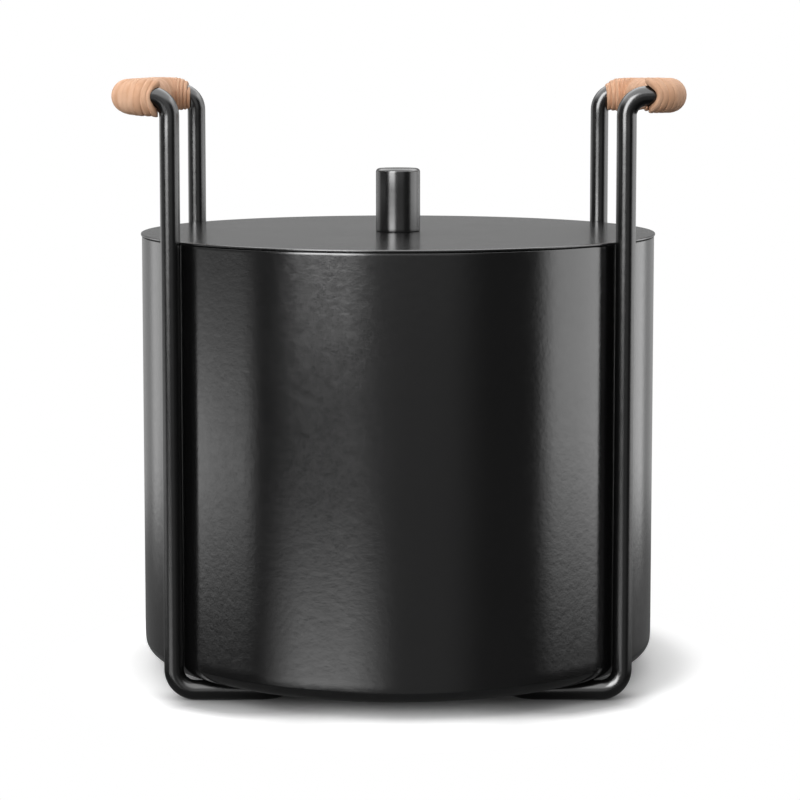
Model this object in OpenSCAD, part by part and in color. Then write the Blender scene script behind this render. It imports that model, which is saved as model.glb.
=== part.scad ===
// Kindling box: a round sheet-steel bucket with a flat lift-off lid, welded
// into a cradle of two bent round bars whose tops form two leather-wound grips.
// X runs from grip to grip, the front faces -Y, and Z = 0 is the hearth.

/* [Bucket] */
// Outside diameter of the bucket
bucket_d = 300; // [260:1:340]
// Height of the bucket from its flat underside to its rim
bucket_h = 244; // [180:1:320]
// Thickness of the bucket's steel sheet
sheet_t = 1.5; // [1:0.1:2.5]
// Outside radius of the rounded bottom corner
corner_r = 7; // [6:0.5:16]

/* [Lid] */
// How far the lid reaches past the bucket's wall, all round
lid_overhang = 0.6; // [0:0.1:1.5]
// Thickness of the lid's disc
lid_t = 1.5; // [1:0.1:3]
// Depth of the locating ring under the lid
ring_h = 10; // [6:0.5:20]
// Thickness of the locating ring's strip
ring_t = 1.5; // [1:0.1:2.5]
// Play between the locating ring and the bucket's inside, on radius
ring_play = 1.5; // [0.5:0.1:3]
// Gap left between the lid and the rim that it rests on
lid_gap = 0.3; // [0.2:0.05:0.5]

/* [Knob] */
// Diameter of the lid's knob
knob_d = 26; // [20:1:40]
// Height of the knob above the lid
knob_h = 37; // [28:1:50]
// Radius of the knob's rounded top edge
knob_edge_r = 2.2; // [0.5:0.1:4]
// Thread diameter of the screw that holds the knob
screw_d = 6; // [4:0.5:8]
// Length of thread inside the knob
screw_grip = 14; // [8:1:20]
// Diameter of the screw's head
screw_head_d = 11; // [9:0.5:14]
// Height of the screw's head
screw_head_h = 3.5; // [3:0.1:5]
// Width across the flats of the socket in the screw's head
socket_w = 4; // [2.5:0.1:4.5]
// Depth of the socket in the screw's head
socket_h = 2; // [1:0.1:2.5]
// Diameter of the washer under the lid
washer_d = 18; // [15:0.5:24]
// Thickness of the washer
washer_t = 1.6; // [1:0.1:2.5]

/* [Cradle] */
// Diameter of the round bar
bar_d = 11; // [9:0.5:12]
// Gap between the lid's edge and the uprights
bar_play = 0.3; // [0.3:0.1:6]
// Angle of each upright round the bucket, from the side towards the front or back
upright_angle = 36.6; // [34:0.1:42]
// Height of the grips' centre line above the bucket's rim
grip_rise = 82.3; // [60:0.5:120]
// Distance that the grips stand out from the uprights, centre line to centre line
grip_reach = 25.5; // [25:0.5:40]
// Centre-line radius of the bend at the top of each upright
top_bend_r = 11; // [10:0.5:11]
// Centre-line radius of the bend that turns the bar into the grip
turn_bend_r = 14; // [13:0.5:14]
// Centre-line radius of the bends at the foot
foot_bend_r = 12; // [11:0.5:16]
// Gap between the bars and the bucket's underside
rest_gap = 0.3; // [0.2:0.05:0.5]

/* [Welds] */
// Length of the weld between the two bar ends inside each grip
butt_weld_w = 2; // [1:0.5:4]
// Gap between the two bars where they touch under the bucket
touch_gap = 0.3; // [0.2:0.05:0.5]
// Length of each weld bead between a bar and the bucket
bead_l = 18; // [10:1:24]
// Radius of the weld beads
bead_r = 1.6; // [1.2:0.1:1.8]
// Length of the bead that joins the two bars under the bucket
centre_bead_l = 10; // [6:0.5:12]
// Gap between a bead and the steel that it joins
bead_gap = 0.1; // [0.05:0.05:0.15]

/* [Grips] */
// Thickness of the leather cord
cord_t = 3.8; // [3:0.1:5]
// Bare bar showing between two turns of the cord, on the straight of the grip
turn_gap = 1.9; // [1.5:0.1:3]
// Play between the cord and the bar
cord_play = 0.4; // [0.3:0.05:0.6]
// Turns of cord round each grip
turns = 23.5; // [15.5:1:23.5]

/* [Hidden] */
$fn = 96;

black_steel = "#232324";
weld_steel = "#2c2c2e";
bare_steel = "#9a9a98";
leather = "#d9ac86";

// Bucket and lid
bucket_r = bucket_d / 2;
underside_z = bar_d + rest_gap;
rim_z = underside_z + bucket_h;
lid_r = bucket_r + lid_overhang;
lid_z = rim_z + lid_gap;
lid_top_z = lid_z + lid_t;
ring_r = bucket_r - sheet_t - ring_play;

// Knob and its screw
thread_play = 0.05;
hole_play = 0.4;
blind_play = 3;
hole_r = screw_d / 2 + hole_play;
washer_z = lid_z - washer_t;
head_round_r = 1;

// Cradle
bar_r = bar_d / 2;
upright_r = lid_r + bar_play + bar_r;
upright_x = upright_r * cos(upright_angle);
upright_y = upright_r * sin(upright_angle);
grip_x = upright_x + grip_reach;
grip_z = rim_z + grip_rise;
grip_half = upright_y - turn_bend_r;
stub_l = grip_reach - top_bend_r - turn_bend_r;
upright_l = grip_z - top_bend_r - foot_bend_r - bar_r;

// Plan of the foot: each bar runs along X, turns in by foot_angle and goes
// straight to a bend at the middle, whose top touches the other bar.
// The arms go 4 parts back for 3 parts inwards.
foot_slope = [3, 4];
foot_angle = atan2(foot_slope[1], foot_slope[0]);
apex_y = bar_r + touch_gap / 2;
bend_in = foot_bend_r * sin(foot_angle);
bend_back = foot_bend_r * (1 - cos(foot_angle));
arm_back = upright_y - apex_y - 2 * bend_back;
arm_in = arm_back * foot_slope[0] / foot_slope[1];
arm_l = norm([arm_in, arm_back]);
foot_turn_x = arm_in + 2 * bend_in;
foot_run = upright_x - foot_bend_r - foot_turn_x;
arm_middle = [bend_in + arm_in / 2, apex_y + bend_back + arm_back / 2];

// A bar is a list of steps: length of a straight, radius of the bend after it,
// angle of that bend, and the side it bends to, counted round the bar.
bar_steps = [
    [grip_half - butt_weld_w / 2, turn_bend_r, 90, 0],
    [stub_l, top_bend_r, 90, -90],
    [upright_l, foot_bend_r, 90, 180],
    [foot_run, foot_bend_r, foot_angle, -90],
    [arm_l, foot_bend_r, 2 * foot_angle, 180],
    [arm_l, foot_bend_r, foot_angle, 180],
    [foot_run, foot_bend_r, 90, 90],
    [upright_l, top_bend_r, 90, 180],
    [stub_l, turn_bend_r, 90, 90],
    [grip_half - butt_weld_w / 2, 0, 0, 0]
];
// How much longer a bend is made before it is cut
spare_angle = 20;

// Winding of the grip cord
cord_sides = 6;
steps_per_turn = 15;
turn_arc = turn_bend_r * PI / 2;
wound_r = bar_r + cord_play + cord_t / 2;
section_r = cord_t / 2 / cos(180 / cord_sides);
grip_half_l = grip_half + turn_arc;
cord_pitch = (2 * grip_half_l + turn_gap) / (turns + 1);
cord_w = cord_pitch - turn_gap;
wound_half = grip_half_l - cord_w / 2;
cord_steps = round(turns * steps_per_turn);

// Point of the left grip's centre line, in plan, at a distance along it from
// its middle; and the direction away from the inside of the bend there
function bend_angle(along) = min(max(abs(along) - grip_half, 0), turn_arc) / turn_bend_r * 180 / PI;
function side_of(along) = along < 0 ? -1 : 1;
function past_bend(along) = max(abs(along) - grip_half_l, 0);
function grip_out(along) = [-cos(bend_angle(along)), side_of(along) * sin(bend_angle(along))];
function grip_line(along) =
    abs(along) < grip_half ? [-grip_x, along]
    : [-grip_x + turn_bend_r + past_bend(along), side_of(along) * grip_half]
        + turn_bend_r * grip_out(along);

// Point at a radius and an angle round the centre line
function round_bar(along, angle, radius) =
    let (flat = grip_line(along) + radius * cos(angle) * grip_out(along))
    [flat[0], flat[1], grip_z + radius * sin(angle)];

// Cross-section of the cord after some steps of its winding
function cord_angle(step) = -90 - 360 * turns * step / cord_steps;
function cord_section(step) =
    let (along = -wound_half + 2 * wound_half * step / cord_steps)
    [for (side = [0.5 : cord_sides])
        let (a = 360 * side / cord_sides)
        round_bar(along + cord_w / 2 * sin(a), cord_angle(step), wound_r + section_r * cos(a))];

// Each end of the cord runs straight out for one cord thickness
function moved(section, by) = [for (p = section) p + by];
function outward(along) = let (out = grip_out(along)) cord_t * [out[0], out[1], 0];
cord_rings = concat(
    [moved(cord_section(0), outward(-wound_half))],
    [for (step = [0 : cord_steps]) cord_section(step)],
    [moved(cord_section(cord_steps), outward(wound_half))]);
last_ring = len(cord_rings) - 1;
cord_points = [for (ring = cord_rings) each ring];
cord_faces = concat(
    [for (side = [1 : cord_sides - 2]) [0, side + 1, side]],
    [for (ring = [0 : last_ring - 1], side = [0 : cord_sides - 1])
        let (a = ring * cord_sides + side, b = ring * cord_sides + (side + 1) % cord_sides)
        each [[a, b, b + cord_sides], [a, b + cord_sides, a + cord_sides]]],
    [for (side = [1 : cord_sides - 2])
        last_ring * cord_sides * [1, 1, 1] + [0, side, side + 1]]);

// Least distance between a point of the cord and a point one turn further on
least_gap = min([for (ring = [0 : last_ring],
                      on = [steps_per_turn - 4 : min(steps_per_turn + 4, last_ring - ring)])
    min([for (p = cord_rings[ring], q = cord_rings[ring + on]) norm(p - q)])]);
echo(str("Least gap of the grip cord to itself: ", least_gap, " mm"));

// Bend of the bar, from +Z towards +X. One that isn't a right angle is made too
// long and then cut at its end plane, so that the next straight meets it exactly.
module ring_stretch(bend_r, angle) {
    rotate([90, 0, 180])
        rotate_extrude(angle = angle) translate([bend_r, 0]) circle(r = bar_r);
}

module elbow(bend_r, angle) {
    reach = 2 * (bend_r + bar_r);
    if (angle == 90) {
        ring_stretch(bend_r, angle);
    } else {
        difference() {
            ring_stretch(bend_r, angle + spare_angle);
            rotate([0, angle, 0]) translate([-reach, -reach, 0]) cube(2 * reach);
        }
    }
}

// Bar that follows a list of steps, starting along +Z
module bent_bar(steps, i = 0) {
    if (i < len(steps)) {
        straight_l = steps[i][0];
        bend_r = steps[i][1];
        angle = steps[i][2];
        cylinder(r = bar_r, h = straight_l);
        if (angle > 0) {
            translate([0, 0, straight_l]) rotate([0, 0, steps[i][3]]) translate([bend_r, 0, 0]) {
                elbow(bend_r, angle);
                rotate([0, angle, 0]) translate([-bend_r, 0, 0]) bent_bar(steps, i + 1);
            }
        }
    }
}

// One half of the cradle, from the left grip's middle to the right grip's middle
module cradle_bar() {
    color(black_steel)
        translate([-grip_x, -butt_weld_w / 2, grip_z]) rotate([90, 0, 0]) bent_bar(bar_steps);
}

module front_bar() {
    cradle_bar();
}

module rear_bar() {
    mirror([0, 1, 0]) cradle_bar();
}

// The bend of a bar at the middle of the foot, a little fatter
module apex_bend() {
    translate([0, -apex_y - foot_bend_r, bar_r])
        rotate_extrude() translate([foot_bend_r, 0]) circle(r = bar_r + bead_gap);
}

// Beads above and below the place where the two bars touch
module centre_weld() {
    color(weld_steel) difference() {
        for (side = [-1, 1])
            translate([-centre_bead_l / 2, 0, bar_r + side * (bar_r - bead_r - 2 * bead_gap)])
                rotate([0, 90, 0]) cylinder(r = bead_r, h = centre_bead_l);
        apex_bend();
        mirror([0, 1, 0]) apex_bend();
    }
}

// Two beads along one arm of the foot, under the bucket
module arm_beads() {
    translate([arm_middle[0], arm_middle[1], 0]) rotate([0, 0, foot_angle]) difference() {
        for (side = [-1, 1])
            translate([-bead_l / 2, side * (bar_r - bead_r / 2), underside_z - bead_gap - bead_r])
                rotate([0, 90, 0]) cylinder(r = bead_r, h = bead_l);
        translate([-bead_l, 0, bar_r])
            rotate([0, 90, 0]) cylinder(r = bar_r + bead_gap, h = 2 * bead_l);
    }
}

module bucket_welds() {
    color(weld_steel) for (x = [0, 1], y = [0, 1])
        mirror([x, 0, 0]) mirror([0, y, 0]) arm_beads();
}

// Weld between the ends of the two bars, hidden inside the grip
module grip_weld() {
    color(weld_steel)
        translate([-grip_x, butt_weld_w / 2, grip_z]) rotate([90, 0, 0])
            cylinder(r = bar_r, h = butt_weld_w);
}

module left_grip_weld() {
    grip_weld();
}

module right_grip_weld() {
    mirror([1, 0, 0]) grip_weld();
}

// Leather cord wound round the grip, one unbroken length
module grip_cord() {
    color(leather) polyhedron(points = cord_points, faces = cord_faces);
}

module left_grip_cord() {
    grip_cord();
}

module right_grip_cord() {
    mirror([1, 0, 0]) grip_cord();
}

module tube(outer_r, inner_r, height) {
    difference() {
        cylinder(r = outer_r, h = height, $fn = 180);
        translate([0, 0, -height]) cylinder(r = inner_r, h = 3 * height, $fn = 180);
    }
}

module bucket_wall() {
    color(black_steel) translate([0, 0, underside_z + corner_r])
        tube(bucket_r, bucket_r - sheet_t, bucket_h - corner_r);
}

// Pressed bottom: a flat disc with a quarter-round edge
module bucket_base() {
    flat_r = bucket_r - corner_r;
    color(black_steel) translate([0, 0, underside_z]) {
        cylinder(r = flat_r, h = sheet_t, $fn = 180);
        rotate_extrude($fn = 180) translate([flat_r, corner_r]) intersection() {
            difference() {
                circle(r = corner_r);
                circle(r = corner_r - sheet_t);
            }
            translate([0, -corner_r]) square(corner_r);
        }
    }
}

module lid_disc() {
    color(black_steel) translate([0, 0, lid_z]) tube(lid_r, hole_r, lid_t);
}

module lid_ring() {
    color(black_steel) translate([0, 0, lid_z - ring_h])
        tube(ring_r, ring_r - ring_t, ring_h);
}

// Turned knob with a blind thread in its foot
module knob() {
    knob_r = knob_d / 2;
    color(black_steel) translate([0, 0, lid_top_z]) difference() {
        union() {
            cylinder(r = knob_r, h = knob_h - knob_edge_r);
            translate([0, 0, knob_h - knob_edge_r]) {
                cylinder(r = knob_r - knob_edge_r, h = knob_edge_r);
                rotate_extrude() translate([knob_r - knob_edge_r, 0]) intersection() {
                    circle(r = knob_edge_r);
                    square(knob_edge_r);
                }
            }
        }
        translate([0, 0, -lid_t])
            cylinder(r = screw_d / 2 + thread_play, h = lid_t + screw_grip + blind_play);
    }
}

module knob_screw() {
    head_r = screw_head_d / 2;
    shank_l = washer_t + lid_t + screw_grip;
    color(bare_steel) translate([0, 0, washer_z]) {
        cylinder(r = screw_d / 2, h = shank_l);
        translate([0, 0, -screw_head_h]) difference() {
            union() {
                translate([0, 0, head_round_r]) cylinder(r = head_r, h = screw_head_h - head_round_r);
                cylinder(r = head_r - head_round_r, h = head_round_r);
                translate([0, 0, head_round_r])
                    rotate_extrude() translate([head_r - head_round_r, 0]) mirror([0, 1])
                        intersection() {
                            circle(r = head_round_r);
                            square(head_round_r);
                        }
            }
            translate([0, 0, -socket_h]) cylinder(d = socket_w / cos(30), h = 2 * socket_h, $fn = 6);
        }
    }
}

module knob_washer() {
    color(bare_steel) translate([0, 0, washer_z]) tube(washer_d / 2, hole_r, washer_t);
}

front_bar();
rear_bar();
centre_weld();
bucket_welds();
left_grip_weld();
right_grip_weld();
left_grip_cord();
right_grip_cord();
bucket_wall();
bucket_base();
lid_disc();
lid_ring();
knob();
knob_screw();
knob_washer();
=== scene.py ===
"""Kindling box: a round black steel bucket with a flat lift-off lid, carried in a cradle
of two bent round bars whose tops are wound with leather cord to make the two grips.

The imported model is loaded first. The sections follow the real one as it is put together:
cradle, bucket, lid, knob, grips, and last the studio. X runs from grip to grip, the front
faces -Y, Z = 0 is the floor, and every length is in metres.
"""

import math

import bpy
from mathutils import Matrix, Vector, noise


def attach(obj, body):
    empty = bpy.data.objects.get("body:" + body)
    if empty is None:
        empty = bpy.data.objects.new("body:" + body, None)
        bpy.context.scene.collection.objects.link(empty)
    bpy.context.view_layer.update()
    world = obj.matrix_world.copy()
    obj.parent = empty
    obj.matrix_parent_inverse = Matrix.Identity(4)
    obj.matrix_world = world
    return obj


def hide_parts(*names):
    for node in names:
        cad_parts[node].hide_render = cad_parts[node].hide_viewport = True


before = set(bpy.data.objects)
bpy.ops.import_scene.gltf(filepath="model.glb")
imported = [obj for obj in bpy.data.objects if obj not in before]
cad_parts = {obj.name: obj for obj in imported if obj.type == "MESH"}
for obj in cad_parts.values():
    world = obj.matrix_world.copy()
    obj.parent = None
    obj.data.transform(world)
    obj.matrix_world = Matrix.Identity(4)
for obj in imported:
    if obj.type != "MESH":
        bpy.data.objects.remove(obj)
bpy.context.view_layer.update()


# ---- Cradle bars -----------------------------------------------------------
# Two lengths of 11 mm round steel bar, bent cold: each goes from the middle of one grip,
# out and down as an upright, along the floor under the bucket, and up to the other grip.
# They are welded, shot-blasted and powder-coated satin black together with the bucket.
bar_r = 0.0055
bar_sides = 32
bend_step = math.radians(7.5)
upright_r = 0.1564
upright_angle = math.radians(36.6)
upright_x = upright_r * math.cos(upright_angle)
upright_y = upright_r * math.sin(upright_angle)

grip_reach = 0.0255
grip_x = upright_x + grip_reach
grip_z = 0.3376
butt_weld_w = 0.002
turn_bend_r = 0.014
top_bend_r = 0.011
grip_half = upright_y - turn_bend_r
spring_back = math.radians(2.5)
spring_r = 0.36

foot_bend_r = 0.012
foot_ring_rise = 0.015
slope_in = 3
slope_back = 4
foot_angle = math.atan2(slope_back, slope_in)
touch_gap = 0.0003
apex_y = bar_r + touch_gap / 2
bend_in = foot_bend_r * math.sin(foot_angle)
bend_back = foot_bend_r * (1 - math.cos(foot_angle))
arm_back = upright_y - apex_y - 2 * bend_back
arm_in = arm_back * slope_in / slope_back
foot_turn_x = arm_in + 2 * bend_in


def nothing_selected():
    bpy.ops.object.select_all(action="DESELECT")


def bare_ring(name, radius, sides, place=(0, 0, 0), turn=(0, 0, 0)):
    """Starts a piece as a ring of points and leaves it in edit mode, selected."""
    nothing_selected()
    bpy.ops.mesh.primitive_circle_add(vertices=sides, radius=radius, location=place, rotation=turn)
    piece = bpy.context.object
    piece.name = name
    piece.data.name = name
    bpy.ops.object.transform_apply(location=True, rotation=True, scale=True)
    bpy.ops.object.mode_set(mode="EDIT")
    bpy.ops.mesh.select_all(action="SELECT")
    return piece


def straight(*run):
    """Draws the selected ring out along a straight."""
    bpy.ops.mesh.extrude_region_move(TRANSFORM_OT_translate={"value": run})


def bent(centre, axis, angle):
    """Draws the selected ring round a bend. Spin counts its angle the other way."""
    steps = max(3, round(abs(angle) / bend_step))
    bpy.ops.mesh.spin(steps=steps, angle=-angle, center=centre, axis=axis)


def closed_and_smooth(piece, sharp_from=35):
    """Closes what is open, turns the faces out and smooths all but real edges."""
    bpy.ops.mesh.select_all(action="SELECT")
    bpy.ops.mesh.remove_doubles(threshold=1e-6)
    bpy.ops.mesh.fill_holes(sides=0)
    bpy.ops.mesh.select_all(action="SELECT")
    bpy.ops.mesh.normals_make_consistent(inside=False)
    bpy.ops.object.mode_set(mode="OBJECT")
    bpy.ops.object.shade_smooth_by_angle(angle=math.radians(sharp_from))


def bend_half_bar():
    """Left half of the front bar, from the middle of the grip to the middle of the foot.

    The upright has sprung back from its bends: it leans in a little at the top and comes
    plumb lower down, over a long slight curve. One more ring above the foot keeps the
    shading of the foot's bend off the straight."""
    piece = bare_ring("cradle_bar_front", bar_r, bar_sides,
                      (-grip_x, -butt_weld_w / 2, grip_z), (math.pi / 2, 0, 0))
    set_back = spring_r * (1 - math.cos(spring_back))
    top_z = grip_z - top_bend_r
    spring_z = top_z - spring_r * math.sin(spring_back)
    foot_z = bar_r + foot_bend_r
    straight(0, butt_weld_w / 2 + set_back - grip_half, 0)
    bent((turn_bend_r - grip_x, set_back - grip_half, grip_z), (0, 0, 1), math.pi / 2)
    straight(grip_reach - turn_bend_r - top_bend_r, 0, 0)
    bent((-upright_x - top_bend_r, set_back - upright_y, top_z), (0, 1, 0), math.pi / 2)
    bpy.ops.transform.rotate(value=spring_back, orient_axis="X",
                             center_override=(-upright_x, set_back - upright_y, top_z))
    bent((-upright_x, spring_r - upright_y, spring_z), (1, 0, 0), spring_back)
    straight(0, 0, foot_z + foot_ring_rise - spring_z)
    straight(0, 0, -foot_ring_rise)
    bent((foot_bend_r - upright_x, -upright_y, foot_z), (0, 1, 0), -math.pi / 2)
    straight(upright_x - foot_bend_r - foot_turn_x, 0, 0)
    bent((-foot_turn_x, foot_bend_r - upright_y, bar_r), (0, 0, 1), foot_angle)
    straight(arm_in, arm_back, 0)
    bent((0, -apex_y - foot_bend_r, bar_r), (0, 0, 1), -foot_angle)
    return piece


front_bar = bend_half_bar()
bpy.ops.object.mode_set(mode="OBJECT")
mirror = front_bar.modifiers.new("Mirror", "MIRROR")
mirror.use_axis = (True, False, False)
mirror.merge_threshold = 1e-5
bpy.ops.object.modifier_apply(modifier=mirror.name)
bpy.ops.object.mode_set(mode="EDIT")
closed_and_smooth(front_bar)


def mirrored_copy(piece, name):
    """A copy with its own mesh, mirrored front to back and turned right side out."""
    nothing_selected()
    piece.select_set(True)
    bpy.context.view_layer.objects.active = piece
    bpy.ops.object.duplicate()
    copy = bpy.context.object
    copy.name = name
    copy.data.name = name
    bpy.ops.object.mode_set(mode="EDIT")
    bpy.ops.mesh.select_all(action="SELECT")
    bpy.ops.transform.resize(value=(1, -1, 1), center_override=(0, 0, 0))
    bpy.ops.mesh.normals_make_consistent(inside=False)
    bpy.ops.object.mode_set(mode="OBJECT")
    return copy


rear_bar = mirrored_copy(front_bar, "cradle_bar_rear")


def feed(socket, value):
    """Links a signal to a socket, or sets the socket to a plain value."""
    if isinstance(value, Signal):
        value.tree.links.new(value.socket, socket)
    else:
        socket.default_value = value


class Signal:
    """A socket of a shader tree, for writing shader maths as plain sums."""

    def __init__(self, tree, socket=None):
        self.tree = tree
        self.socket = socket

    def add(self, kind, settings=None, inputs=None, output=0):
        """Adds any node: its settings first, then the values or links of its sockets."""
        node = self.tree.nodes.new(kind)
        for setting, value in (settings or {}).items():
            setattr(node, setting, value)
        for socket, value in (inputs or {}).items():
            feed(node.inputs[socket], value)
        return Signal(self.tree, node.outputs[output])

    def maths(self, operation, *terms):
        """One of the Math node's operations, on signals and numbers."""
        return self.add("ShaderNodeMath", {"operation": operation}, dict(enumerate(terms)))

    def __add__(self, other):
        return self.maths("ADD", self, other)

    __radd__ = __add__

    def __sub__(self, other):
        return self.maths("SUBTRACT", self, other)

    def __rsub__(self, other):
        return self.maths("SUBTRACT", other, self)

    def __mul__(self, other):
        return self.maths("MULTIPLY", self, other)

    __rmul__ = __mul__

    def between(self, low, high):
        """0 below low, 1 above high, and a smooth rise between them."""
        return self.add("ShaderNodeMapRange", {"interpolation_type": "SMOOTHSTEP"},
                        {"Value": self, "From Min": low, "From Max": high})

    def mixed(self, low, high):
        """The colour low where this is 0, and high where it is 1, in sockets 6 and 7."""
        return self.add("ShaderNodeMix", {"data_type": "RGBA"},
                        {"Factor": self, 6: low, 7: high}, output=2)

    def noise(self, place, scale, detail=2.0, roughness=0.5):
        """Cloudy noise from 0 to 1, with about scale lumps to the metre."""
        return self.add("ShaderNodeTexNoise", None,
                        {"Vector": place, "Scale": scale, "Detail": detail,
                         "Roughness": roughness})

    def stretched(self, place, scale):
        """The same coordinates, drawn out or pressed together along each axis."""
        return self.add("ShaderNodeVectorMath", {"operation": "MULTIPLY"},
                        {0: place, 1: scale})

    def bumped(self, distance, strength=1.0):
        """The surface's normal, with this as a relief that is distance high."""
        return self.add("ShaderNodeBump", None,
                        {"Height": self, "Strength": strength, "Distance": distance})


def new_material(name):
    """A node material: its tree's signals and its Principled shader."""
    material = bpy.data.materials.new(name)
    material.use_nodes = True
    shader = material.node_tree.nodes["Principled BSDF"]
    return material, Signal(material.node_tree), shader


def wire(shader, **sockets):
    """Sets or links a shader's sockets, with _ for the spaces in their names."""
    for name, value in sockets.items():
        feed(shader.inputs[name.replace("_", " ")], value)


def powder_coat(name, gloss, tone, grain=0.00005):
    """Satin black powder coat: fine orange peel, cloudy gloss, a little dust and rubbing.
    A smaller gloss is shinier, a larger tone greyer, and grain is the depth of the peel."""
    material, sig, shader = new_material(name)
    place = sig.add("ShaderNodeTexCoord", output="Object")
    streaky = sig.stretched(place, (1, 1, 0.35))
    clouds = sig.noise(place, scale=9, detail=3)
    handling = sig.noise(streaky, scale=38, detail=4, roughness=0.6).between(0.55, 0.78)
    speckle = sig.noise(place, scale=900, detail=2, roughness=0.6)
    peel = sig.noise(place, scale=330, detail=1)
    sag = sig.noise(place, scale=200, detail=3, roughness=0.6)
    black = (tone, tone, tone * 1.03, 1)
    dusty = (tone * 1.9, tone * 1.88, tone * 1.85, 1)
    dust = (handling * 0.35 + speckle.between(0.58, 0.8) * 0.5) * 0.7 + clouds * 0.15
    relief = sag * 0.6 + peel * 0.5 + speckle * 0.25
    vary = 0.08
    wire(shader, Base_Color=dust.mixed(black, dusty), Normal=relief.bumped(grain),
         Roughness=gloss + (clouds - 0.5) * vary + (sag - 0.5) * vary + (speckle - 0.5) * vary)
    return material


def finish_piece(piece, material, slot, body, *nodes):
    """Gives a piece its finish, its body and the frame's nodes that it stands for."""
    piece.data.materials.clear()
    piece.data.materials.append(material)
    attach(piece, body)
    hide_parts(*nodes)


bar_coat = powder_coat("bar_powder_coat", gloss=0.21, tone=0.0030, grain=0.00003)
finish_piece(front_bar, bar_coat, "coated_bar", "cradle", "front_bar")
finish_piece(rear_bar, bar_coat, "coated_bar", "cradle", "rear_bar")


# ---- Welds of the cradle ---------------------------------------------------
# The bar ends are butt-welded inside the grips, and the two feet are joined by short
# beads where they touch under the bucket. Beads show the ripple of the torch.
def weld_metal():
    """Bare weld with heat colours, hidden under the winding."""
    material, sig, shader = new_material("bare_weld_metal")
    place = sig.add("ShaderNodeTexCoord", output="Object")
    heat = sig.noise(place, scale=260, detail=3)
    ripple = sig.noise(sig.stretched(place, (1, 4, 1)), scale=500, detail=2)
    wire(shader, Base_Color=heat.mixed((0.10, 0.09, 0.085, 1), (0.36, 0.33, 0.30, 1)),
         Roughness=0.35 + heat * 0.25, Metallic=1.0, Normal=ripple.bumped(0.0002, strength=0.7))
    return material


def dress_node(node, material):
    """Gives a node of the frame, whose shape is right as it is, its real material."""
    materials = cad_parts[node].data.materials
    materials.clear()
    materials.append(material)


bare_weld = weld_metal()
dress_node("left_grip_weld", bare_weld)
dress_node("right_grip_weld", bare_weld)


def weld_bead(name, length, radius, place, turn):
    """One rippled bead along X, drawn ring by ring, with rounded ends."""
    sides = 12
    ring_step = 0.00045
    end_size = 0.35
    ripple = 0.06
    ripple_turn = 2.1
    rings = round(length / ring_step)
    piece = bare_ring(name, radius * end_size, sides, (-length / 2, 0, 0), (0, math.pi / 2, 0))
    size = end_size
    for ring in range(1, rings + 1):
        share = 2 * ring / rings - 1
        dome = math.sqrt(max(0.12, 1 - abs(share) ** 7))
        next_size = dome * (1 - ripple + ripple * math.cos(ring * ripple_turn))
        straight(length / rings, 0, 0)
        grow = next_size / size
        bpy.ops.transform.resize(value=(1, grow, grow))
        size = next_size
    closed_and_smooth(piece, 80)
    nothing_selected()
    piece.select_set(True)
    piece.rotation_euler = (0, 0, turn)
    piece.location = place
    bpy.ops.object.transform_apply(location=True, rotation=True, scale=True)
    return piece


def joined(name, pieces):
    """Makes one piece of several that are made in the same way."""
    nothing_selected()
    for piece in pieces:
        piece.select_set(True)
    bpy.context.view_layer.objects.active = pieces[0]
    bpy.ops.object.join()
    pieces[0].name = name
    pieces[0].data.name = name
    return pieces[0]


bead_r = 0.0017
bead_inset = 0.0002
centre_bead_l = 0.010
centre_bead_rise = bar_r - bead_r - bead_inset
centre_welds = joined("foot_centre_beads", [
    weld_bead("foot_centre_bead", centre_bead_l, bead_r, (0, 0, bar_r + side * centre_bead_rise), 0)
    for side in (-1, 1)])
weld_coat = powder_coat("weld_powder_coat", gloss=0.28, tone=0.0085)
finish_piece(centre_welds, weld_coat, "coated_weld", "cradle", "centre_weld")


# ---- Bucket base -----------------------------------------------------------
# A disc of 1.5 mm sheet steel, pressed with a rounded edge, that lies on the arms of the
# two feet. It is welded to the wall all round and ground flush, and the weld has drawn the
# sheet in by a fifth of a millimetre there.
bucket_r = 0.150
bucket_h = 0.244
sheet_t = 0.0015
corner_r = 0.007
rest_gap = 0.0003
underside_z = 2 * bar_r + rest_gap
rim_z = underside_z + bucket_h
round_sides = 256
base_ring_radii = (0.03, 0.09)


def raised(name, profile, sides, shut=False):
    """A round piece drawn up ring by ring through (radius, height) pairs, about the Z axis.
    With shut, the last ring comes back to the first; otherwise a radius of 0 is a pole."""
    radius, height = profile[0]
    piece = bare_ring(name, radius, sides, (0, 0, height))
    for next_radius, next_height in profile[1:] + profile[:1] * shut:
        straight(0, 0, next_height - height)
        if next_radius == 0:
            bpy.ops.mesh.merge(type="CENTER")
        elif next_radius != radius:
            grow = next_radius / radius
            bpy.ops.transform.resize(value=(grow, grow, 1), center_override=(0, 0, 0))
        radius, height = next_radius, next_height
    return piece


def arc(centre_r, centre_z, radius, start, end, steps):
    """Profile points on a round, from one angle to another in degrees."""
    angles = [math.radians(start + (end - start) * step / steps) for step in range(steps + 1)]
    return [(centre_r + radius * math.cos(a), centre_z + radius * math.sin(a)) for a in angles]


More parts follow.
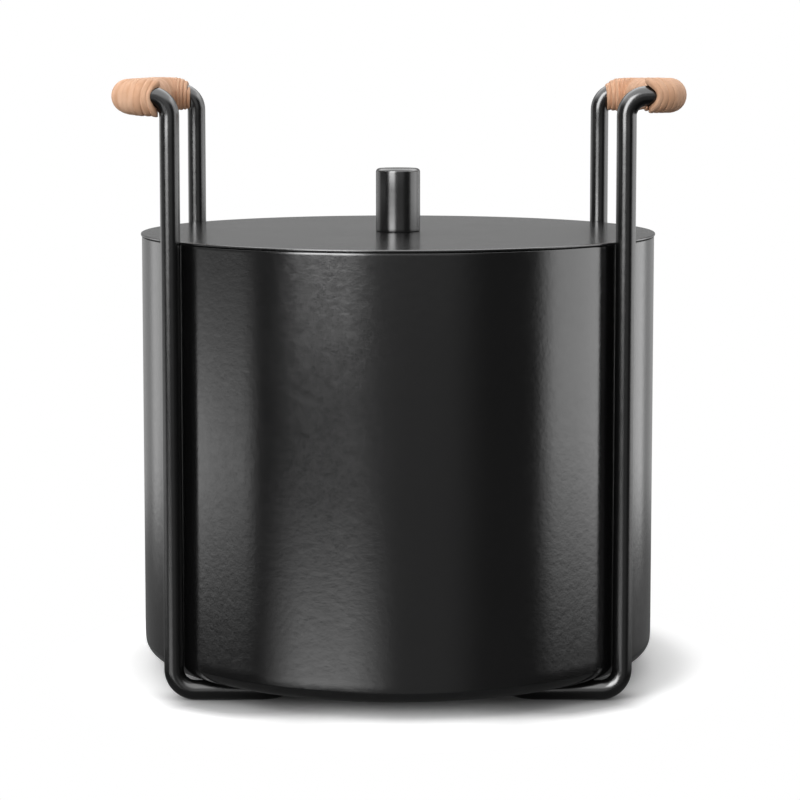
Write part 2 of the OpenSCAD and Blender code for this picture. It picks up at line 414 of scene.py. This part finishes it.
corner_z = underside_z + corner_r
draw_in = 0.00019
draw_h = 0.0055
draw_angle = math.atan(2 * draw_in / draw_h)
edge_round_r = corner_r / (1 - math.sin(draw_angle))
edge_centre_r = bucket_r - draw_in - edge_round_r * math.cos(draw_angle)
edge_top_angle = -math.degrees(draw_angle) - 0.5
base_outside = (
    [(radius, underside_z) for radius in base_ring_radii]
    + arc(edge_centre_r, underside_z + edge_round_r, edge_round_r, -90, edge_top_angle, 24)
    + [(bucket_r - draw_in, corner_z)]
)
base_inside = (
    [(bucket_r - sheet_t, corner_z)]
    + arc(bucket_r - corner_r, corner_z, corner_r - sheet_t, -6, -90, 14)
    + [(radius, underside_z + sheet_t) for radius in reversed(base_ring_radii)]
)
bucket_base = raised("bucket_base_pressing", base_outside + base_inside, round_sides)
closed_and_smooth(bucket_base, 30)
sheet_coat = powder_coat("bucket_powder_coat", gloss=0.17, tone=0.0035)
finish_piece(bucket_base, sheet_coat, "coated_sheet", "cradle", "bucket_base")


# ---- Bucket wall -----------------------------------------------------------
# A strip of the same sheet, rolled to a tube and welded up the back, that eases in to the
# weld of the base at its foot. The rim is cut square and its edges are broken, so that it
# catches a thin line of light.
edge_r = 0.00045
plain_z = corner_z + draw_h + 0.001
middle_z = 0.13
inner_middle_z = 0.15
rim_ring_z = rim_z - 0.0015
wall_foot = [(bucket_r - draw_in * (1 - share) ** 2, corner_z + draw_h * share)
             for share in (0, 0.05, 0.25, 0.5, 0.75, 1)]
wall_rim = (
    arc(bucket_r - edge_r, rim_z - edge_r, edge_r, 0, 90, 4)
    + arc(bucket_r - sheet_t + edge_r, rim_z - edge_r, edge_r, 90, 180, 4)
)
bucket_wall = raised("bucket_wall_tube", (
    wall_foot
    + [(bucket_r, height) for height in (plain_z, middle_z, rim_ring_z)]
    + wall_rim
    + [(bucket_r - sheet_t, height) for height in (inner_middle_z, corner_z)]
), round_sides, shut=True)
closed_and_smooth(bucket_wall, 40)
finish_piece(bucket_wall, sheet_coat, "coated_sheet", "cradle", "bucket_wall")


# ---- Welds between bucket and cradle ---------------------------------------
# Four pairs of short beads under the base, one on each side of every arm of the feet,
# laid before the coating.
bead_l = 0.018
bead_gap = 0.0001
foot_bead_r = bead_r * 0.97
arm_x = bend_in + arm_in / 2
arm_y = apex_y + bend_back + arm_back / 2
arm_beads = []
for end_x in (-1, 1):
    for end_y in (-1, 1):
        for side in (-1, 1):
            slope = foot_angle * end_x * end_y
            off = side * (bar_r - bead_r / 2)
            arm_beads.append(weld_bead(
                "arm_bead", bead_l, foot_bead_r,
                (end_x * arm_x - off * math.sin(slope), end_y * arm_y + off * math.cos(slope),
                 underside_z - bead_gap - bead_r), slope))
foot_welds = joined("bucket_foot_beads", arm_beads)
finish_piece(foot_welds, weld_coat, "coated_weld", "cradle", "bucket_welds")


# ---- Lid -------------------------------------------------------------------
# A flat disc of sheet steel that lies on the rim and stands out a little past the wall. A
# strip rolled to a ring is tacked under it and drops inside the bucket to keep it there.
lid_overhang = 0.0006
lid_gap = 0.0003
lid_t = 0.0015
lid_r = bucket_r + lid_overhang
lid_z = rim_z + lid_gap
lid_top_z = lid_z + lid_t
hole_r = 0.0034
lid_edge_r = 0.0006
lid_ring_radii = (hole_r, 0.05, lid_r - 0.002)
lid_profile = (
    [(radius, lid_top_z) for radius in lid_ring_radii]
    + arc(lid_r - lid_edge_r, lid_top_z - lid_edge_r, lid_edge_r, 90, 0, 5)
    + arc(lid_r - lid_edge_r, lid_z + lid_edge_r, lid_edge_r, 0, -90, 5)
    + [(radius, lid_z) for radius in reversed(lid_ring_radii)]
)
lid_disc = raised("lid_sheet", lid_profile, round_sides, shut=True)
closed_and_smooth(lid_disc, 40)
lid_coat = powder_coat("lid_powder_coat", gloss=0.20, tone=0.0050)
finish_piece(lid_disc, lid_coat, "coated_lid", "lid", "lid_disc")

ring_play = 0.0015
ring_t = 0.0015
ring_h = 0.010
ring_r = bucket_r - sheet_t - ring_play
ring_z = lid_z - ring_h
ring_middle_z = 0.250
ring_edge_r = 0.0003
lid_ring = raised("lid_locating_ring", (
    [(ring_r, height) for height in (ring_middle_z, lid_z)]
    + [(ring_r - ring_t, height) for height in (lid_z, ring_middle_z)]
    + arc(ring_r - ring_t + ring_edge_r, ring_z + ring_edge_r, ring_edge_r, 180, 270, 3)
    + arc(ring_r - ring_edge_r, ring_z + ring_edge_r, ring_edge_r, 270, 360, 3)
), round_sides, shut=True)
closed_and_smooth(lid_ring, 40)
finish_piece(lid_ring, lid_coat, "coated_lid", "lid", "lid_ring")


# ---- Knob ------------------------------------------------------------------
# A plain cylinder of steel, turned, with a rounded top edge, and coated like the rest. It
# stands on the lid and is screwed on from below. The mesh is closed over its thread.
knob_r = 0.013
knob_h = 0.037
knob_sides = 96
knob_top_z = lid_top_z + knob_h
knob_edge_r = 0.0022
thread_r = 0.00305
foot_edge_r = 0.0005
knob_side_zs = (0.259, knob_top_z - 0.012)
knob_top_radii = (0.0095, 0.002, 0)
knob = raised("lid_knob", (
    [(thread_r, lid_top_z)]
    + arc(knob_r - foot_edge_r, lid_top_z + foot_edge_r, foot_edge_r, -90, 0, 3)
    + [(knob_r, height) for height in knob_side_zs]
    + arc(knob_r - knob_edge_r, knob_top_z - knob_edge_r, knob_edge_r, 0, 90, 10)
    + [(radius, knob_top_z) for radius in knob_top_radii]
), knob_sides)
closed_and_smooth(knob, 40)
knob_coat = powder_coat("knob_powder_coat", gloss=0.21, tone=0.0040, grain=0.00003)
finish_piece(knob, knob_coat, "coated_knob", "lid", "knob")


# ---- Knob screw and washer -------------------------------------------------
# A zinc-plated M6 socket-head screw and its washer, seen only from under the lid. The
# shapes in the frame are right, so they stay and only get their plating.
def zinc_plate():
    """Bright zinc, with a faint spangle and the fine rings that turning leaves."""
    material, sig, shader = new_material("zinc_plated_steel")
    place = sig.add("ShaderNodeTexCoord", output="Object")
    spangle = sig.noise(place, scale=420, detail=3)
    turning = sig.noise(sig.stretched(place, (1, 1, 12)), scale=700, detail=1)
    wire(shader, Base_Color=spangle.mixed((0.42, 0.42, 0.40, 1), (0.68, 0.68, 0.66, 1)),
         Roughness=0.22 + spangle * 0.22, Metallic=1.0,
         Normal=turning.bumped(0.00005, strength=0.4))
    return material


zinc = zinc_plate()
dress_node("knob_screw", zinc)
dress_node("knob_washer", zinc)


# ---- Grips -----------------------------------------------------------------
# One length of tan vegetable-tanned leather cord is wound tight and wet round each grip,
# turn on turn. It flattens against its neighbours and bunches up inside the bends. At the
# front the turns slide out over the bar like a hood, and both ends are tucked back under.
cord_t = 0.0037
cord_sides = 12
steps_per_turn = 28
wound_r = 0.0078
cord_pitch = 0.0042
bend_pitch = 0.0026
mouth_pitch = 0.0019
turn_arc = turn_bend_r * math.pi / 2
bend_fade_l = 0.004
bunch_depth = 0.0006
stretch_depth = 0.0003
mouth_l = 0.008
crease_l = 0.014
belly_l = 0.024
taper_l = 0.011
taper_depth = 0.0030
sag_from = 0.012
sag_l = 0.020
plain_groove = 0.22
tucked_share = 0.3


def grip_line(along):
    """A point of the left grip's centre line and the way out of its bend, by the distance
    from the middle of the grip, which is negative towards the front. Past the bend the
    line sinks half as far as the bar does, because the winding hardly follows it down."""
    furthest_l = 0.009
    way = -1 if along < 0 else 1
    past = abs(along) - grip_half
    if past <= 0:
        return Vector((-grip_x, along, grip_z)), Vector((-1, 0, 0))
    a = min(past, turn_arc) / turn_bend_r
    out = Vector((-math.cos(a), way * math.sin(a), 0))
    point = Vector((turn_bend_r - grip_x, way * grip_half, grip_z)) + turn_bend_r * out
    beyond = max(0, past - turn_arc)
    bar_sink = top_bend_r - math.sqrt(top_bend_r ** 2 - min(beyond, furthest_l) ** 2)
    return point + Vector((beyond, 0, -bar_sink / 2)), out


def bend_share(along):
    """0 on the straight of the grip and 1 inside its bends."""
    return min(1, max(0, (abs(along) - grip_half + bend_fade_l / 2) / bend_fade_l))


def closeness(distance, reach, fade_l):
    """1 near an end of the winding and 0 past its reach, with a fade between."""
    return max(0, min(1, (reach - distance) / fade_l))


def fading(distance, length):
    """1 at an end of the winding, and evenly less from there, down to 0 at that length."""
    return max(0, 1 - distance / length)


def pitch_at(along, front, rear, rear_pitch):
    """Distance between turns: closer on the centre line of a bend and at the ends."""
    front_close = closeness(along + front, reach=0.007, fade_l=0.004)
    rear_close = closeness(rear - along, reach=0.014, fade_l=0.003)
    pitch = cord_pitch + (bend_pitch - cord_pitch) * bend_share(along)
    pitch += (rear_pitch - pitch) * rear_close
    return pitch + (mouth_pitch - pitch) * front_close


def cord_places(front, rear, rear_pitch):
    """Where the cord is along the grip at each of its steps, from its front end."""
    places = [-front + bend_pitch / 2]
    while places[-1] < rear - bend_pitch / 2:
        pitch = pitch_at(places[-1], front, rear, rear_pitch)
        places.append(places[-1] + pitch / steps_per_turn)
    return places


def unevenness(turn, along, angle, seed):
    """How far the cord stands out: turn by turn, in waves along the grip, and in lumps."""
    by_turn = 0.00014 * noise.noise((turn * 0.9, seed, 0))
    wave = 0.00024 * noise.noise((along * 45, seed, 3))
    round_x = math.cos(angle) * 1.2
    round_z = math.sin(angle) * 1.2
    lump = 0.00018 * noise.noise((along * 160, round_x + seed, round_z))
    return by_turn + wave + lump


def squared(value, power):
    """A sine or cosine, pushed towards 1 to square the section off a little."""
    return math.copysign(abs(value) ** power, value)


def cord_tube(name, verts, ridge_shades):
    """A closed tube from the cord's rings of points. Its ridge attribute is 1 on the crown of a
    turn and less in the grooves, where it sets their painted shade, and its map lay runs along
    and round the cord."""
    turn_l = 0.05
    girth = 0.013
    rings = len(verts) // cord_sides - 1
    faces = [tuple(range(cord_sides)), tuple(range(rings * cord_sides, (rings + 1) * cord_sides))]
    for ring in range(rings):
        for corner in range(cord_sides):
            here = ring * cord_sides + corner
            beside = ring * cord_sides + (corner + 1) % cord_sides
            faces.append((here, beside, beside + cord_sides, here + cord_sides))
    mesh = bpy.data.meshes.new(name)
    mesh.from_pydata(verts, [], faces)
    ridge_shade = mesh.attributes.new("ridge_shade", "FLOAT", "POINT")
    ridge_shade.data.foreach_set("value", ridge_shades)
    lay = mesh.uv_layers.new(name="lay")
    for face in mesh.polygons:
        for loop in face.loop_indices:
            ring, corner = divmod(mesh.loops[loop].vertex_index, cord_sides)
            wraps = corner == 0 and any(
                mesh.loops[other].vertex_index % cord_sides == cord_sides - 1
                for other in face.loop_indices)
            lay.data[loop].uv = (ring / steps_per_turn * turn_l,
                                 (corner + cord_sides * wraps) / cord_sides * girth)
    piece = bpy.data.objects.new(name, mesh)
    bpy.context.scene.collection.objects.link(piece)
    nothing_selected()
    piece.select_set(True)
    bpy.context.view_layer.objects.active = piece
    bpy.ops.object.mode_set(mode="EDIT")
    bpy.ops.mesh.select_all(action="SELECT")
    bpy.ops.mesh.normals_make_consistent(inside=False)
    bpy.ops.object.mode_set(mode="OBJECT")
    bpy.ops.object.shade_smooth_by_angle(angle=math.radians(70))
    return piece


def wound_grip(name, side, front, rear, inward, lift, tilt, belly, sag, mouth, lean, hood,
               front_groove, rear_groove, rear_pitch, seed, tuck_angle):
    """The cord of one grip, swept ring by ring from its front end to its rear end.

    The winding reaches front and rear from the middle of the grip. It lies inward and lift
    off the bar, and tilt is its slope down to the rear. Underneath it is fuller by belly at
    the front and by sag at the rear. At its mouth, the front end, the outside is drawn in
    by mouth, and the turns slide forward by lean below and by hood above. The grooves say
    how open its creases are at each end and how dark their painted shade is there, and
    tuck_angle is where round the bar it starts."""
    verts, ridge_shades = [], []
    places = cord_places(front, rear, rear_pitch)
    for ring, along in enumerate(places):
        turn = ring / steps_per_turn
        turns_from_end = min(ring, len(places) - 1 - ring) / steps_per_turn
        angle = tuck_angle - 2 * math.pi * turn
        outer = math.cos(angle)
        inside = max(0, -outer)
        outside = max(0, outer)
        below = max(0, -math.sin(angle))
        above = max(0, math.sin(angle))
        bend = bend_share(along)
        at_front = fading(along + front, mouth_l)
        at_rear = fading(rear - along, taper_l)
        fuller = unevenness(turn, along, angle, seed)
        fuller += bend * (bunch_depth * inside - stretch_depth * outside)
        fuller += belly * below ** 2 * fading(along + front, belly_l)
        fuller += sag * below ** 2 * min(1, fading(rear - along - sag_from, sag_l))
        fuller -= mouth * outside * at_front ** 1.5
        fuller -= taper_depth * at_rear ** 2
        # Where the turns crease and bunch, the grooves open and are painted darker as shade, more
        # so below.
        creased = fading(along + front, crease_l) * (0.35 + 0.65 * below)
        bunched = max(bend * inside, creased, at_rear)
        opened = bunched * (front_groove if along < 0 else rear_groove)
        groove = plain_groove + (1 - plain_groove) * opened
        tuck = min(1, tucked_share + turns_from_end * 5)
        forward = lean * below ** 2 + hood * above ** 2
        width = pitch_at(along, front, rear, rear_pitch) * (1.28 - 0.22 * groove) * tuck
        width *= 1 + forward / mouth_l * min(1, at_front * 4)
        width *= 1 + 0.06 * noise.noise((turn * 2.3, seed, 9))
        thick = cord_t * tuck
        middle = wound_r + fuller - (cord_t - thick) * 0.4
        slid = along - forward * at_front
        for corner in range(cord_sides):
            a = 2 * math.pi * (corner + 0.5) / cord_sides
            centre, out = grip_line(slid + width / 2 * squared(math.sin(a), 0.75))
            radius = middle + thick / 2 * squared(math.cos(a), 0.3 + 0.3 * groove)
            point = centre + out * (radius * outer - inward * (1 - bend * at_rear))
            point.z += radius * math.sin(angle) + lift - tilt * along
            verts.append((point.x * side, point.y, point.z))
            # 1 on the crown and less towards the grooves, for the painted shade there.
            ridge_shades.append(1 - (0.5 - 0.5 * math.cos(a)) * groove)
    return cord_tube(name, verts, ridge_shades)


def tan_leather():
    """Vegetable-tanned cord: pale tan, darkened in the grooves as painted shade, with fibres and
    pores.
    """
    warm_tan = (0.62, 0.335, 0.195, 1)
    pale_tan = (0.79, 0.50, 0.335, 1)
    fibre_brown = (0.36, 0.17, 0.085, 1)
    groove_shade_brown = (0.20, 0.082, 0.034, 1)
    material, sig, shader = new_material("tan_leather_cord")
    place = sig.add("ShaderNodeTexCoord", output="Object")
    lay = sig.add("ShaderNodeUVMap", {"uv_map": "lay"})
    ridge_shade = sig.add("ShaderNodeAttribute", {"attribute_name": "ridge_shade"}, output="Fac")
    turn_tone = sig.noise(sig.stretched(lay, (18, 60, 1)), scale=1, detail=2)
    blotch = sig.noise(place, scale=75, detail=3, roughness=0.55)
    fibre = sig.noise(sig.stretched(lay, (220, 1900, 1)), scale=1, detail=3, roughness=0.6)
    pores = sig.noise(place, scale=1400, detail=2, roughness=0.6)
    tan = (turn_tone * 0.5 + blotch * 0.5).between(0.34, 0.66).mixed(warm_tan, pale_tan)
    marks = fibre.between(0.56, 0.8) * 0.35 + pores.between(0.6, 0.85) * 0.3
    # Painted shade in the grooves between the turns.
    groove_shade = (1 - ridge_shade.between(0.42, 0.86)) * 0.75
    relief = fibre * 0.6 + pores * 0.4
    wire(shader, Base_Color=groove_shade.mixed(marks.mixed(tan, fibre_brown), groove_shade_brown),
         Normal=relief.bumped(0.00012, strength=0.6), Specular_IOR_Level=0.4,
         Roughness=0.52 + blotch * 0.16 + fibre * 0.08)
    return material


leather = tan_leather()
left_grip = wound_grip(
    "left_grip_winding", 1, front=0.1043, rear=0.1100, inward=0.0017, lift=-0.0004, tilt=0.001,
    belly=0.0017, sag=0.0016, mouth=0.0012, lean=0.0055, hood=0.0050, front_groove=0.3,
    rear_groove=1, rear_pitch=0.0022, seed=4.2, tuck_angle=-1.9)
right_grip = wound_grip(
    "right_grip_winding", -1, front=0.0998, rear=0.1096, inward=0.0006, lift=-0.0003, tilt=0.006,
    belly=0.0001, sag=0.0016, mouth=0.0008, lean=0.0045, hood=0.0048, front_groove=1,
    rear_groove=0.15, rear_pitch=0.0026, seed=11.7, tuck_angle=-1.3)
finish_piece(left_grip, leather, "leather_cord", "cradle", "left_grip_cord")
finish_piece(right_grip, leather, "leather_cord", "cradle", "right_grip_cord")


# ---- Floor -----------------------------------------------------------------
# A plain white table top. Near the box it is lit like anything else and keeps its shadow,
# with a painted shadow laid over that part by part; further out it turns to plain white.
floor_r = 0.26
shadow_x = 0.004
nothing_selected()
bpy.ops.mesh.primitive_circle_add(vertices=96, radius=floor_r, fill_type="NGON")
floor = bpy.context.object
floor.name = "floor"


def seen_directly(sig):
    """The camera's rays, and those that metal or glass sends on: 1 for each, else 0."""
    camera = sig.add("ShaderNodeLightPath", output="Is Camera Ray")
    glossy = sig.add("ShaderNodeLightPath", output="Is Glossy Ray")
    through = sig.add("ShaderNodeLightPath", output="Is Transmission Ray")
    return camera, sig.maths("MAXIMUM", glossy, through)


def painted_table_shadow(sig, place, away):
    """The painted shadow on the lit table, as the camera sees it: darkest under the bucket,
    darker at the flanks of its front and rear than in their middle, and palest out at the fringe."""
    east, north = (sig.add("ShaderNodeSeparateXYZ", None, {0: place}, output=axis)
                   for axis in "XY")
    x = sig.maths("ABSOLUTE", east - shadow_x)
    y = sig.maths("ABSOLUTE", north)
    ahead = y.between(0.098, 0.128)
    edge = sig.maths("MAXIMUM", ahead, x.between(0.110, 0.150))
    middle = ahead * (1 - x.between(0.015, 0.065))
    fringe = away.between(0.155, 0.195)
    pale = 0.45 + edge * 0.23 + middle * 0.25 + fringe * 0.32
    flank_across = x.between(0.03, 0.08) * (1 - x.between(0.118, 0.150))
    flank_along = y.between(0.070, 0.090) * (1 - y.between(0.120, 0.142))
    flank = flank_across * flank_along * (1 - away.between(0.152, 0.174))
    under = (1 - y.between(0.088, 0.108)) * (1 - x.between(0.100, 0.125))
    return pale * (1 - flank * 0.45) * (1 - under * 0.5)


def white_table():
    """Matt white to the camera, with a painted shadow near the box, and pure white away from it.
    The steel mirrors it as a disc painted grey as shade, and sees past its edge to the studio."""
    black = (0, 0, 0, 1)
    brightest = (2.4, 2.4, 2.4, 1)
    matt_white = (0.85, 0.85, 0.85, 1)
    mirrored_shade_grey = (0.25, 0.25, 0.25, 1)
    material, sig, shader = new_material("white_table")
    camera, mirrored = seen_directly(sig)
    place = sig.add("ShaderNodeTexCoord", output="Object")
    away = sig.add("ShaderNodeVectorMath", {"operation": "LENGTH"}, {0: place}, output="Value")
    grain = sig.noise(place, scale=60, detail=3)
    # What the steel mirrors of the table is painted grey, as the shade near the box.
    table = (mirrored * (1 - grain * 0.1)).mixed(matt_white, mirrored_shade_grey)
    # To the camera the table's colour is its painted shadow, scaled up past white.
    lit = camera.mixed(table, painted_table_shadow(sig, place, away).mixed(black, brightest))
    paper = sig.add("ShaderNodeBsdfDiffuse", None, {"Color": lit})
    white = sig.add("ShaderNodeEmission", None, {"Color": (1, 1, 1, 1), "Strength": 1.0})
    shown = sig.add("ShaderNodeMixShader", None,
                    {0: camera * away.between(0.165, 0.205), 1: paper, 2: white})
    unseen = sig.add("ShaderNodeBsdfTransparent")
    shown = sig.add("ShaderNodeMixShader", None,
                    {0: mirrored * away.between(0.168, 0.185), 1: shown, 2: unseen})
    output = material.node_tree.nodes["Material Output"]
    material.node_tree.links.new(shown.socket, output.inputs["Surface"])
    material.node_tree.nodes.remove(shader)
    return material


floor.data.materials.append(white_table())


# ---- Studio ----------------------------------------------------------------
# White all round for the camera. What the steel mirrors is a pale backdrop behind, a soft
# box and a screen at each side, a bright narrow box at the front left with its sheen on
# the table, a pale ceiling, and a dim room on the camera's side.
def stripe(angle, first, last, soft):
    """1 between two angles and 0 past them, with edges that fade soft degrees each way."""
    rise = angle.between(math.radians(first - soft), math.radians(first + soft))
    return rise * (1 - angle.between(math.radians(last - soft), math.radians(last + soft)))


def panel(across, up, left, right, low, high, soft, soft_up):
    """1 inside a panel that stands between those angles, in degrees, and 0 outside."""
    return stripe(across, left, right, soft) * stripe(up, low, high, soft_up)


def studio_world():
    """Light by the direction that a ray goes, which is Texture Coordinate's first output in
    a world. 0 degrees across is towards the camera, and 90 is to the right. Only what the
    steel mirrors has edges; all other light is soft."""
    world = bpy.data.worlds.new("studio")
    bpy.context.scene.world = world
    world.use_nodes = True
    world.node_tree.nodes.clear()
    sig = Signal(world.node_tree)
    camera, mirrored = seen_directly(sig)
    ray = sig.add("ShaderNodeTexCoord", output=0)
    x, y, z = (sig.add("ShaderNodeSeparateXYZ", None, {0: ray}, output=axis) for axis in "XYZ")
    across = sig.maths("ARCTAN2", x, 0 - y)
    up = sig.maths("ARCSINE", z)
    beside = sig.maths("ABSOLUTE", across)

    room = panel(across, up, -62, 62, -40, 24, soft=12, soft_up=10)
    room_middle = panel(across, up, -22, 30, -40, 24, soft=10, soft_up=10)
    room_upper = panel(across, up, -22, 30, -0.5, 40, soft=10, soft_up=1.5)
    front_left_box = panel(across, up, -47, -16, -1.0, 42, soft=5, soft_up=1.2)
    sheen = panel(across, up, -53, -12, -19, -12.5, soft=13, soft_up=2.0)
    right_box = panel(across, up, 68, 112, -11.0, 40, soft=6, soft_up=1.8)
    right_screen = panel(across, up, 112, 143, -10.6, 40, soft=4, soft_up=0.8)
    left_box_foot = panel(across, up, -106, -67, -11.1, -7.2, soft=5, soft_up=1.0)
    left_box_low = panel(across, up, -106, -67, -11.3, -4.5, soft=5, soft_up=1.5)
    left_box = panel(across, up, -106, -67, -11.3, 40, soft=5, soft_up=1.0)
    left_screen = panel(across, up, -143, -106, -10.4, 40, soft=4, soft_up=1.0)
    ceiling = up.between(0.35, 0.75)
    behind = beside.between(math.radians(112), math.radians(124))
    backdrop = behind * (0.12 + up.between(-0.20, -0.16) * 0.37 - up.between(0, 0.06) * 0.185)
    steel = (0.05 + room * 0.085 + room_middle * 0.25 + room_upper * 0.8
             + front_left_box * 18 + sheen * 4.0 + right_box * 3.9 + right_screen * 1.6
             + left_box_foot * 2.3 + left_box_low * 0.45 + left_box * 0.3
             + left_screen * 1.25 + ceiling * 4.5 + backdrop)

    front_glow = panel(across, up, -32, 24, 3, 24, soft=8, soft_up=3)
    soft_light = 0.06 + up.between(-0.1, 0.1) * 0.41 + front_glow * 2.4
    light = mirrored * steel + (1 - mirrored) * soft_light
    level = sig.maths("MAXIMUM", camera, light)
    background = sig.add("ShaderNodeBackground", None, {"Color": (1, 1, 1, 1), "Strength": level})
    output = world.node_tree.nodes.new("ShaderNodeOutputWorld")
    world.node_tree.links.new(background.socket, output.inputs["Surface"])


studio_world()


def soft_box(name, azimuth, distance, height, wide, tall, level, aim=0.15):
    """A soft box that faces the object, at that azimuth in degrees from the camera's side.
    Level is its brightness, where 1 is white, and aim the height that it points at."""
    lamp = bpy.data.lights.new(name, "AREA")
    lamp.shape = "RECTANGLE"
    lamp.size = wide
    lamp.size_y = tall
    lamp.energy = level * math.pi * wide * tall
    box = bpy.data.objects.new(name, lamp)
    bpy.context.scene.collection.objects.link(box)
    a = math.radians(azimuth)
    box.location = (distance * math.sin(a), -distance * math.cos(a), height)
    box.rotation_euler = (Vector((0, 0, aim)) - box.location).to_track_quat("-Z", "Y").to_euler()
    box.visible_glossy = False


soft_box("left_box", azimuth=-80, distance=0.9, height=0.35, wide=0.6, tall=0.7, level=1.3, aim=0.3)
soft_box("front_left_box", azimuth=-32, distance=1.2, height=0.75, wide=0.5, tall=0.9, level=3.4)
soft_box("right_box", azimuth=97, distance=1.0, height=1.0, wide=0.6, tall=0.9, level=0.3)


# ---- Camera ----------------------------------------------------------------
# About 1.5 m in front of the box and a little above its lid, looking slightly down. The
# lens is long, and shifted so that the box stands in the middle of the picture.
looking_down = 5.54
camera = bpy.data.cameras.new("camera")
camera.lens = 112.37
camera.sensor_width = 36
camera.shift_x = 0.0025
camera.shift_y = -0.12
camera.clip_start = 0.05
camera_stand = bpy.data.objects.new("camera", camera)
bpy.context.scene.collection.objects.link(camera_stand)
camera_stand.location = (0, -1.467, 0.3562)
camera_stand.rotation_euler = (math.radians(90 - looking_down), 0, 0)
bpy.context.scene.camera = camera_stand
bpy.context.scene.view_settings.view_transform = "Standard"
